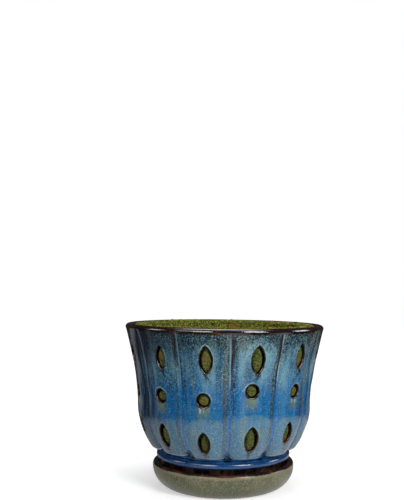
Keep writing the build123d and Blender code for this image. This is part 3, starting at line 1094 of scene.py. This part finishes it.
def moss_profile():
    """Radius and height of the lining's section, from its underside round to its hollow's floor."""
    inner_lip = lip_radius - lip_thickness
    floor_radius = neck_radius - wall - throat_step
    bottom = pot_floor_height + moss_clearance
    outer, inner = [], []
    for level in np.linspace(edge_height, lip_height, 90):
        radius = float(inner_radius(0.0, level))
        outer.append((radius - moss_clearance, level))
        inner.append((radius - moss_clearance - moss_thickness, level))
    crest = []
    crest_middle = inner_lip - moss_clearance - moss_thickness / 2
    for turn in np.linspace(0, pi, 26)[1:-1]:
        crest.append((crest_middle + moss_thickness / 2 * cos(turn), lip_height + moss_crown * sin(turn)))
    base = [(share * floor_radius, bottom) for share in np.linspace(0.02, 0.9, 24)]
    base += [
        (floor_radius + (outer[0][0] - floor_radius) * share, bottom + (edge_height - bottom) * share**1.6)
        for share in np.linspace(0.06, 0.94, 12)
    ]
    floor = bottom + moss_floor_thickness
    bowl_top = edge_height + moss_bowl_rise
    bowl = [
        (inner[0][0] * sin(turn), floor + (bowl_top - floor) * (1 - cos(turn)))
        for turn in np.linspace(pi / 2, 0.03, 36)
    ]
    inner = [point for point in inner if point[1] > bowl_top + 1]
    return np.array(base + outer + crest + inner[::-1] + bowl)


def hash_noise(points, scale, seed):
    """Smooth value noise at points, from -1 to 1, from random values on a grid."""
    grid = points / scale + 1000.37 * (seed + 1)
    cell = np.floor(grid).astype(np.int64)
    part = grid - cell
    part = part * part * (3 - 2 * part)
    total = np.zeros(len(points))
    for corner in np.ndindex(2, 2, 2):
        node = cell + corner
        mixed = (node[:, 0] * 73856093) ^ (node[:, 1] * 19349663) ^ (node[:, 2] * 83492791)
        mixed = (mixed ^ (mixed >> 13)) * 1274126177
        value = ((mixed ^ (mixed >> 16)) & 65535) / 32767.5 - 1
        weight = np.prod(np.where(np.array(corner) == 1, part, 1 - part), axis=1)
        total += value * weight
    return total


def layered_noise(points, layers):
    """A sum of noises, each with its scale, seed and share."""
    return sum(hash_noise(points, scale, seed) * share for scale, seed, share in layers)


def moss_surface():
    """The section turned about the axis: radius, angle and height of its points, and its faces."""
    profile = moss_profile()
    radii, heights = np.repeat(profile, moss_around, axis=0).T
    angles = np.tile(np.linspace(0, 360, moss_around, endpoint=False), len(profile))
    faces = np.concatenate(ring_quads(0, moss_around, len(profile))).tolist()
    faces.append(list(range(moss_around))[::-1])
    faces.append(list(range(len(radii) - moss_around, len(radii))))
    return radii, angles, heights, faces


def make_moss():
    radii, angles, heights, faces = moss_surface()
    points = leaned(place(radii, angles, heights)) + [0, 0, seat_height]
    piece = make_mesh("moss", points, faces)
    mesh = piece.data
    normals = np.zeros(points.size)
    mesh.vertices.foreach_get("normal", normals)
    lumps = layered_noise(points, moss_lumps)
    lift = np.clip(lumps, -1, 1) * moss_lump_height - moss_base_lift

    # The moss bulges into the slots, where its outside has room up to the face of the wall
    outer = np.abs(radii + moss_clearance - inner_radius(0.0, heights)) < 0.05
    gaps = slot_distances(angles, heights)[0]
    room = panel_radius(heights) - radii - moss_sink + moss_base_lift
    bulge = np.clip((-gaps - bulge_start) / bulge_slope, 0, 1) ** 0.5 * np.clip(room, 0, moss_bulge)
    lift += outer * bulge
    tufts = np.clip((heights - lip_height) / moss_crown, 0, 1) * layered_noise(points, moss_tufts)
    lift += tufts * moss_tuft_height
    moved = points + normals.reshape(-1, 3) * lift[:, None]
    mesh.vertices.foreach_set("co", (moved / METRE).ravel())
    mesh.update()
    give_values(mesh, "lump", lumps + tufts)
    give_values(mesh, "side", outer.astype(float))
    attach(piece, "liner")
    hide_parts("moss_liner")
    return piece


def moss_look():
    """Yellow green tufts with dark gaps painted as shade and dry patches, paler, duller and with painted
    light where they are packed against the wall in the dim slots.
    """
    g = Look("moss_green")
    place_in = g.on_object()
    fine = g.noise(place_in, 0.85, 3.0, 0.75)
    fibre = g.noise(g.scaled(place_in, (1.0, -1.0, 0.6)), 1.3, 3.0, 0.7, 1.2)
    patch = g.noise(place_in, 0.09, 3.0, 0.6)
    tuft = g.noise(place_in, 0.38, 3.0, 0.6, 0.8)
    g.body = g.mix(g.band(fine, 0.4, 0.6), lit_packed_dark, lit_packed_mid)
    g.lay(lit_packed_shade, g.band(fibre, 0.5, 0.4, 0.0, 0.85))
    g.lay(lit_packed_dry, g.band(patch, 0.48, 0.62, 0.0, 0.55))
    lit_packed = g.body
    g.body = g.mix(g.band(g.attribute("lump"), -0.7, 0.6), moss_dark, moss_mid)
    # Dark gaps between the tufts are painted shade.
    g.lay(moss_gap_shade, g.band(tuft, 0.54, 0.44, 0.0, 0.9))
    g.lay(moss_tip, g.band(fine, 0.5, 0.58, 0.0, 0.85))
    g.lay(moss_shade, g.band(fibre, 0.5, 0.38, 0.0, 0.9))
    g.lay(moss_dry, g.band(patch, 0.52, 0.66, 0.0, 0.7))
    # The packed moss in the slots is painted lighter to make up for the light that the slots keep out.
    g.lay(lit_packed, g.attribute("side"))
    return g.shaded({
        "Base Color": g.body,
        "Roughness": 0.9,
        "Specular IOR Level": 0.1,
        "Normal": g.bump(fine, moss_grain_depth),
    })


moss = make_moss()
moss.data.materials.append(moss_look())

# Camera: on the front side, at the height and distance that the photograph's ellipses give
image_width, image_height = 404, 500
camera_distance = 0.600
camera_height = 0.15715
focal_pixels = 732.8
horizon_row = 287.9
axis_column = 222.7
sensor_width = 36.0

camera_data = bpy.data.cameras.new("camera")
camera_data.sensor_width = sensor_width
camera_data.lens = focal_pixels / max(image_width, image_height) * sensor_width
camera = add_object("camera", camera_data)
pitch = atan2(horizon_row - image_height / 2, focal_pixels)
yaw = atan2(axis_column - image_width / 2, focal_pixels)
camera.location = (0, -camera_distance, camera_height)
camera.rotation_euler = (pi / 2 + pitch, 0, yaw)
bpy.context.scene.camera = camera

bpy.context.scene.view_settings.view_transform = "Standard"

# Floor and backdrop, white to the camera
floor_size = 12.0
near_floor, far_floor = 0.4, 1.4
near_glow, far_glow = 0.5, 0.9
world_level = 0.14
white = (1, 1, 1, 1)
black = (0, 0, 0, 1)
pale_grey = (0.72, 0.72, 0.72, 1)


def floor_look():
    g = Look("floor_white")
    from_middle = g.node("ShaderNodeVectorMath", {0: g.on_object(1.0)}, 1, operation="LENGTH")
    glow = g.band(from_middle, near_floor, far_floor, near_glow, far_glow)
    return g.shaded({
        "Base Color": pale_grey,
        "Roughness": 1.0,
        "Specular IOR Level": 0.0,
        "Emission Color": white,
        "Emission Strength": g.product(g.seen(), glow),
    })


bpy.ops.mesh.primitive_plane_add(size=floor_size, location=(0, 0, 0))
floor = bpy.context.object
floor.name = "floor"
floor.data.materials.append(floor_look())

world = bpy.data.worlds.new("studio")
bpy.context.scene.world = world
world.use_nodes = True
sky = Nodes(world.node_tree)
background = world.node_tree.nodes["Background"]
sky.link(white, background.inputs["Color"])
sky.link(sky.band(sky.seen(), 0.0, 1.0, world_level, 1.0), background.inputs["Strength"])

# Cards round the pot that only its gloss shows: a bright table, a dark room and a few white strips
room_radius = 1.5
room_level = 0.035
table_radius = 0.232
card_start = 0.062
card_lift = 0.0004
strip_radius = 1.2
strip_half_width = 10
strip_rises = (12, 18, 24, 30)
ceiling_rises = (60, 64, 68)
ceiling_half_width = 100
ceiling_level = 3.5

# A sector's middle and half width as angles from the front, its reach past the table's radius and its level
table_sectors = [
    (-15, 25, -0.004, 0.95),
    (45, 35, 0.022, 1.05),
    (-70, 30, -0.024, 0.55),
    (-140, 40, -0.024, 0.35),
    (112, 32, 0.0, 0.6),
    (162, 18, 0.0, 0.4),
]

# A floor card's middle and half width, its nearest and furthest radius and its level
floor_cards = [
    (17, 4.5, 0.25, 0.34, 1.0),
    (-128, 8, 0.24, 0.7, 0.4),
    (-92, 4, 0.24, 0.5, 0.3),
    (132, 6, 0.24, 0.6, 0.35),
]

# A strip's middle and its level
front_strips = [(-83, 5.0), (-23, 13.0), (37, 12.0), (97, 9.0)]


def card_look(name, level):
    return Look(name).shaded({
        "Base Color": black,
        "Specular IOR Level": 0.0,
        "Emission Color": white,
        "Emission Strength": level,
    })


def curved_card(name, middle, half_width, profile, level):
    """A card turned about the pot's axis, between two angles from the front, through radii and heights."""
    steps = max(2, round(half_width / 4))
    row = steps + 1
    turns = np.radians(np.linspace(middle - half_width, middle + half_width, row))
    points = [
        (reach * np.sin(turn), -reach * np.cos(turn), rise)
        for reach, rise in profile
        for turn in turns
    ]
    lows = [line * row + step for line in range(len(profile) - 1) for step in range(steps)]
    mesh = bpy.data.meshes.new(name)
    mesh.from_pydata(points, [], [(low, low + 1, low + row + 1, low + row) for low in lows])
    mesh.materials.append(card_look(name, level))
    card = add_object(name, mesh)
    for kind in ("camera", "diffuse", "transmission", "volume_scatter", "shadow"):
        setattr(card, f"visible_{kind}", False)


def arc(radius, rises):
    """Radius and height of points on a dome, from their rises in degrees."""
    return [(radius * cos(radians(rise)), radius * sin(radians(rise))) for rise in rises]


dome = arc(room_radius, range(0, 76, 5))
curved_card("dark_room", 0, 180, [(card_start, card_lift)] + dome, room_level)
for middle, half_width, further, level in table_sectors:
    reach = [(card_start, 2 * card_lift), (table_radius + further, 2 * card_lift)]
    curved_card(f"bright_table_{middle}", middle, half_width, reach, level)
for number, (middle, half_width, near, far, level) in enumerate(floor_cards):
    reach = [(near, 3 * card_lift), (far, 3 * card_lift)]
    curved_card(f"floor_card_{number}", middle, half_width, reach, level)
for middle, level in front_strips:
    curved_card(f"front_strip_{middle}", middle, strip_half_width, arc(strip_radius, strip_rises), level)
curved_card("ceiling_strip", 0, ceiling_half_width, arc(strip_radius, ceiling_rises), ceiling_level)

# Lights, each with its place, what it is aimed at, its two sizes and its power
lights = {
    "key": ((0.7, -1.0, 0.75), (0, 0, 0.07), (0.5, 0.5), 15.5),
    "fill": ((-0.8, -0.9, 0.6), (0, 0, 0.07), (0.6, 0.6), 3.5),
    "top": ((0, 0.1, 1.2), (0, 0, 0.1), (0.8, 0.5), 9),
}
for name, (place_at, aim, size, power) in lights.items():
    data = bpy.data.lights.new(name, "AREA")
    data.shape = "RECTANGLE"
    data.size, data.size_y = size
    data.energy = power
    lamp = add_object(name, data)
    lamp.location = place_at
    lamp.rotation_euler = (Vector(aim) - Vector(place_at)).to_track_quat("-Z", "Y").to_euler()
